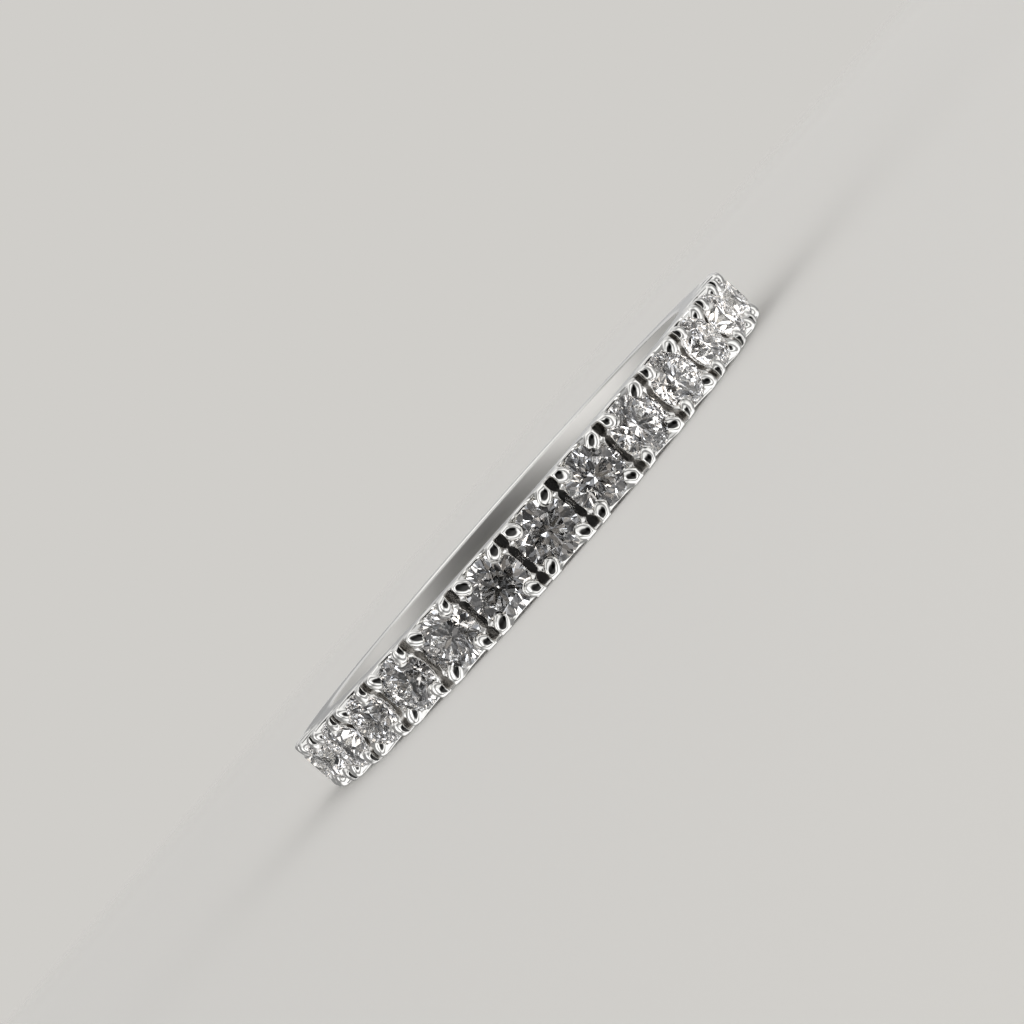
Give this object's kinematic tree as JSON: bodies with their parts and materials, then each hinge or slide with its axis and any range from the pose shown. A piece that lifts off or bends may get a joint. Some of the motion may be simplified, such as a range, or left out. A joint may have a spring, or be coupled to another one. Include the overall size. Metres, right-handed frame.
{
  "type": "half eternity ring",
  "caption": "Slim finger ring with claw-set round brilliant stones in a row round its front half and a plain, gently domed shank at the back.",
  "frame": {"origin": "centre of the finger hole, at half the band's width", "axes": "+Z along the finger hole, so that the ring lies on its side; the middle stone faces -Y; +X runs along the row of stones"},
  "size_m": [0.0204, 0.02, 0.002],
  "materials": {
    "platinum": "polished platinum with fine wear",
    "diamond": "clear stone with polished flat facets"
  },
  "bodies": {
    "root": {"band": "platinum", "stone_01": "diamond", "stone_02": "diamond", "stone_03": "diamond", "stone_04": "diamond", "stone_05": "diamond", "stone_06": "diamond", "stone_07": "diamond", "stone_08": "diamond", "stone_09": "diamond", "stone_10": "diamond", "stone_11": "diamond", "stone_12": "diamond", "stone_13": "diamond", "stone_14": "diamond", "stone_15": "diamond"}
  },
  "joints": []
}
